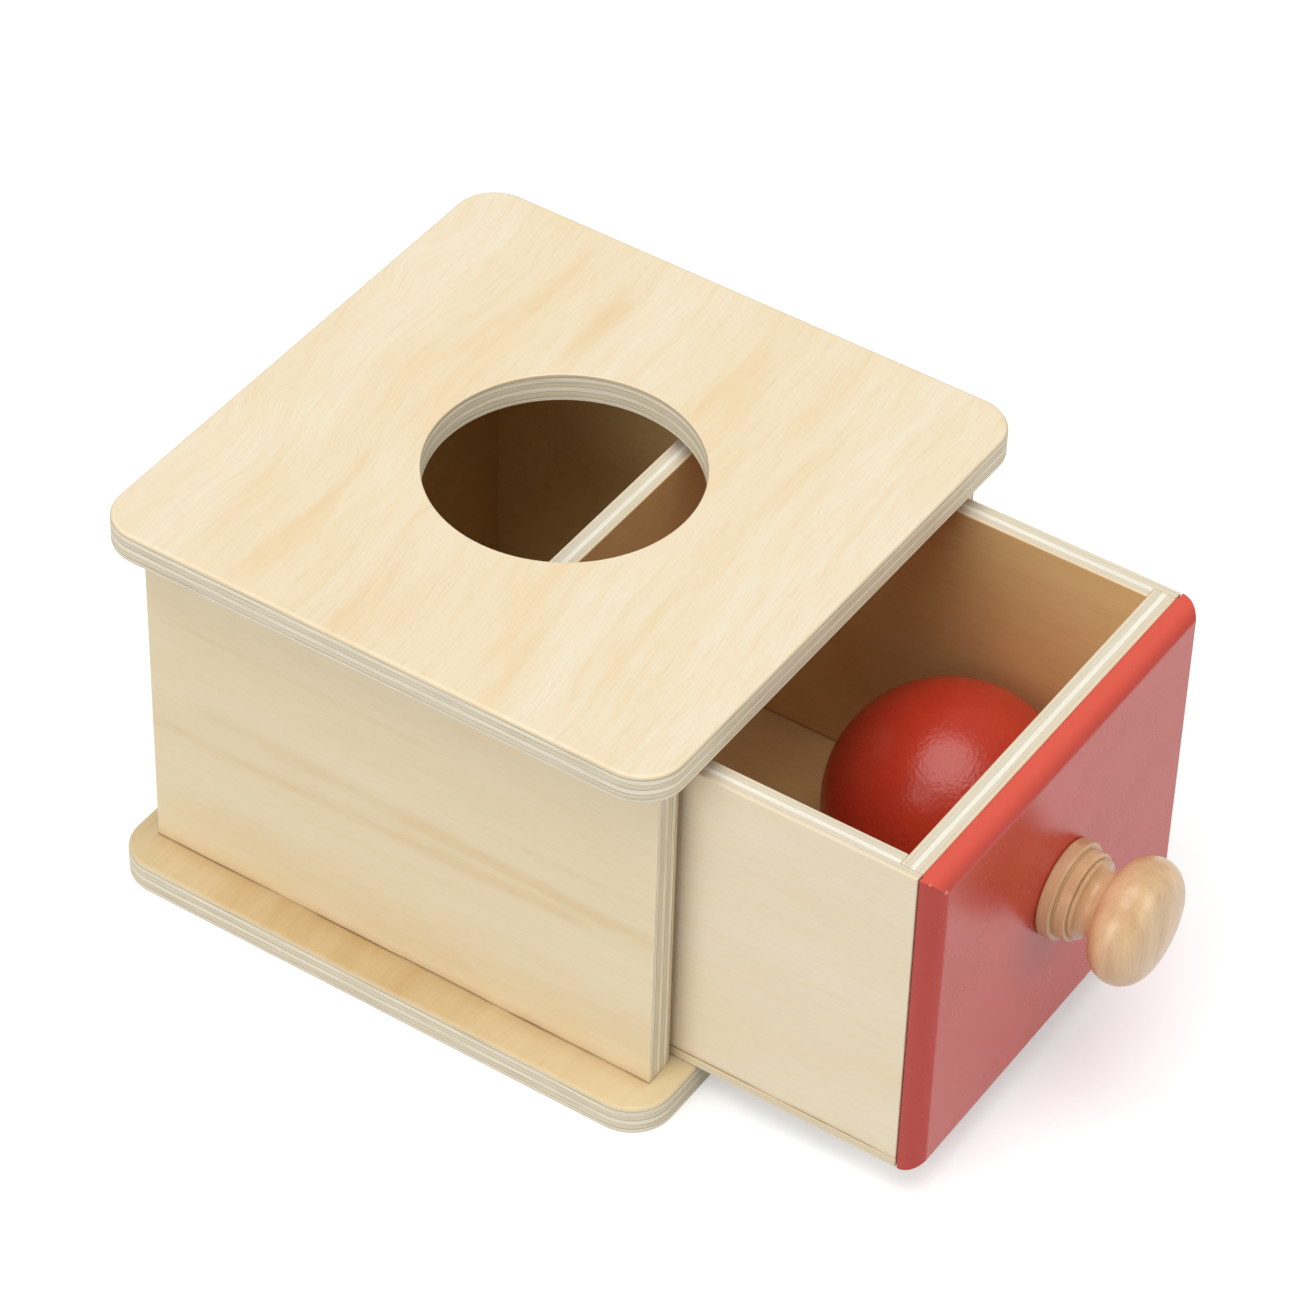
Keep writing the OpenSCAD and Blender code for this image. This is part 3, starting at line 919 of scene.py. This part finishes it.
def knob_outline():
    """Half section of the knob, from the bottom of the screw's hole round to the front of the head."""
    flange_end = FLANGE_LONG - GROOVE_WIDE
    neck_start = FLANGE_LONG + COLLAR_LONG
    collar_end = neck_start - GROOVE_WIDE
    first_groove = COLLAR_R - GROOVE_DEEP
    second_groove = SHOULDER_R - GROOVE_DEEP
    half = HEAD_LONG / 2
    head_mid = neck_start + NECK_LONG + half
    rim_at = HEAD_R - RIM_R
    dome_r = (rim_at * rim_at + half * half - RIM_R * RIM_R) / (2 * (half - RIM_R))
    meet = math.degrees(math.atan2(dome_r - half, rim_at))
    waist_r = (NECK_LONG - SHOULDER_LONG + NECK_TUCK) / 2
    waist_at = (NECK_R + waist_r, neck_start + SHOULDER_LONG + waist_r)
    waist_start = 360.0 - math.degrees(math.acos((SHOULDER_R - waist_at[0]) / waist_r))
    points = [(0.0, SCREW_HOLE_LONG), (SCREW_HOLE_R, SCREW_HOLE_LONG), (SCREW_HOLE_R, 0.0)]
    points += disc_edge(FLANGE_R, 0.0, flange_end)
    points += [(first_groove, flange_end), (first_groove, FLANGE_LONG)]
    points += disc_edge(COLLAR_R, FLANGE_LONG, collar_end)
    points += [(second_groove, collar_end), (second_groove, neck_start), (SHOULDER_R, neck_start)]
    points += arc(waist_at, waist_r, waist_start, NECK_END, WAIST_STEPS)
    points += arc((rim_at, head_mid), RIM_R, -meet, meet, HEAD_RIM_STEPS)
    points += arc((0.0, head_mid + half - dome_r), dome_r, meet, 90, DOME_STEPS)
    points[-1] = (0.0, head_mid + half)
    return points


knob_low, knob_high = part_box("knob")
foot = (knob_low + knob_high) / 2
foot.y = knob_high.y
knob_bm = spun_mesh(knob_outline(), foot, KNOB_TURN_STEPS)
knob_finish = turned_beech("knob_beech", foot, seed=6.0)
add_piece("turned_knob", knob_bm, knob_finish, "drawer", "knob")


# Ball

BALL_ROUNDNESS = 6
BALL_ROUGH = 0.26
BALL_PEEL_WAVES = 800.0
BALL_PEEL = 0.34

ball_low, ball_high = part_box("ball")
ball_r = (ball_high.z - ball_low.z) / 2
ball_bm = bmesh.new()
bmesh.ops.create_icosphere(ball_bm, subdivisions=BALL_ROUNDNESS, radius=ball_r)
bmesh.ops.translate(ball_bm, vec=(ball_low + ball_high) / 2, verts=ball_bm.verts)
ball_paint = red_paint("ball_red", BALL_RED, BALL_DEEP, BALL_ROUGH, BALL_PEEL_WAVES, BALL_PEEL)
add_piece("painted_ball", ball_bm, ball_paint, "ball", "ball")


# CAD nodes that stay: the knob's screw and the hidden dowels

def keep_node(node, material):
    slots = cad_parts[node].data.materials
    slots.clear()
    slots.append(material)


keep_node("knob_screw", screw_steel("screw_zinc"))
dowel_finish = plain_dowel("dowel_raw")
for node in ("top_dowels", "base_dowels", "back_dowels"):
    keep_node(node, dowel_finish)


# Camera at the photograph's viewing angle

PHOTO_PIXELS = 1308
AZIMUTH = -57.3425
ELEVATION = 42.4437
ROLL = 1.8784
FOCAL_PIXELS = 5422.7688
DISTANCE = 1.4567291
AIM = Vector((0.0, 0.0, 0.058))
SHIFT_RIGHT = 0.0249535
SHIFT_UP = 0.0028427
SENSOR = 36.0
FAR_CLIP = 20.0


def direction(azimuth, elevation):
    """From the box towards a place in degrees; azimuth 0 is in front of the drawer and 90 to its right."""
    turn = math.radians(azimuth)
    lift = math.radians(elevation)
    return Vector((math.sin(turn) * math.cos(lift), -math.cos(turn) * math.cos(lift), math.sin(lift)))


turn = math.radians(AZIMUTH)
roll = math.radians(ROLL)
back = direction(AZIMUTH, ELEVATION)
level_right = Vector((math.cos(turn), math.sin(turn), 0.0))
level_up = back.cross(level_right)
right = level_right * math.cos(roll) + level_up * math.sin(roll)
up = level_up * math.cos(roll) - level_right * math.sin(roll)

camera_data = bpy.data.cameras.new("photo_camera")
camera_data.sensor_fit = "HORIZONTAL"
camera_data.sensor_width = SENSOR
camera_data.lens = SENSOR * FOCAL_PIXELS / PHOTO_PIXELS
camera_data.clip_end = FAR_CLIP
camera = bpy.data.objects.new("photo_camera", camera_data)
pose = Matrix((right, up, back)).transposed().to_4x4()
pose.translation = AIM + back * DISTANCE + right * SHIFT_RIGHT + up * SHIFT_UP
camera.matrix_world = pose
bpy.context.scene.collection.objects.link(camera)
bpy.context.scene.camera = camera


# Floor and light

FLOOR_HALF = 4.0
FLOOR_LIT = (0.45, 0.45, 0.45)
FLOOR_SHOWN = (0.8, 0.8, 0.8)
FLOOR_GLOW = 0.38
WHITE = (1.0, 1.0, 1.0)
WORLD_LEVEL = 0.3


def white_floor(name):
    """White floor: seen directly or in a gloss, it glows a little on top of its light and shadow."""
    shade = Shade(name)
    camera_ray = shade.node("ShaderNodeLightPath", {}, {}, "Is Camera Ray")
    gloss_ray = shade.node("ShaderNodeLightPath", {}, {}, "Is Glossy Ray")
    through_ray = shade.node("ShaderNodeLightPath", {}, {}, "Is Transmission Ray")
    seen = camera_ray.larger(gloss_ray).larger(through_ray)
    lit = shade.node("ShaderNodeBsdfDiffuse", {}, {"Color": rgba(FLOOR_LIT)}, "BSDF")
    glow = shade.node("ShaderNodeEmission", {}, {"Color": rgba(WHITE), "Strength": FLOOR_GLOW}, "Emission")
    pale = shade.node("ShaderNodeBsdfDiffuse", {}, {"Color": rgba(FLOOR_SHOWN)}, "BSDF")
    shown = shade.node("ShaderNodeAddShader", {}, {0: pale, 1: glow}, "Shader")
    return shade.close(shade.node("ShaderNodeMixShader", {}, {0: seen, 1: lit, 2: shown}, "Shader"))


floor_bm = bmesh.new()
bmesh.ops.create_grid(floor_bm, x_segments=1, y_segments=1, size=FLOOR_HALF)
floor_mesh = bpy.data.meshes.new("floor")
floor_bm.to_mesh(floor_mesh)
floor_bm.free()
floor_mesh.materials.append(white_floor("white_floor"))
floor = bpy.data.objects.new("floor", floor_mesh)
bpy.context.scene.collection.objects.link(floor)

world = bpy.data.worlds.new("studio")
world.use_nodes = True
bpy.context.scene.world = world
sky = world.node_tree.nodes["Background"]
sky.inputs["Color"].default_value = rgba(WHITE)
sky.inputs["Strength"].default_value = WORLD_LEVEL


def soft_sun(name, azimuth, elevation, strength, spread):
    """A wide soft lamp far away."""
    lamp_data = bpy.data.lights.new(name, "SUN")
    lamp_data.energy = strength
    lamp_data.angle = math.radians(spread)
    lamp = bpy.data.objects.new(name, lamp_data)
    lamp.rotation_euler = direction(azimuth, elevation).to_track_quat("Z", "Y").to_euler()
    bpy.context.scene.collection.objects.link(lamp)


soft_sun("top_lamp", azimuth=-85.0, elevation=80.0, strength=1.68, spread=50.0)
soft_sun("left_lamp", azimuth=-104.0, elevation=24.0, strength=1.12, spread=44.0)
soft_sun("front_lamp", azimuth=12.0, elevation=15.0, strength=0.82, spread=40.0)

bpy.context.scene.view_settings.view_transform = "Standard"
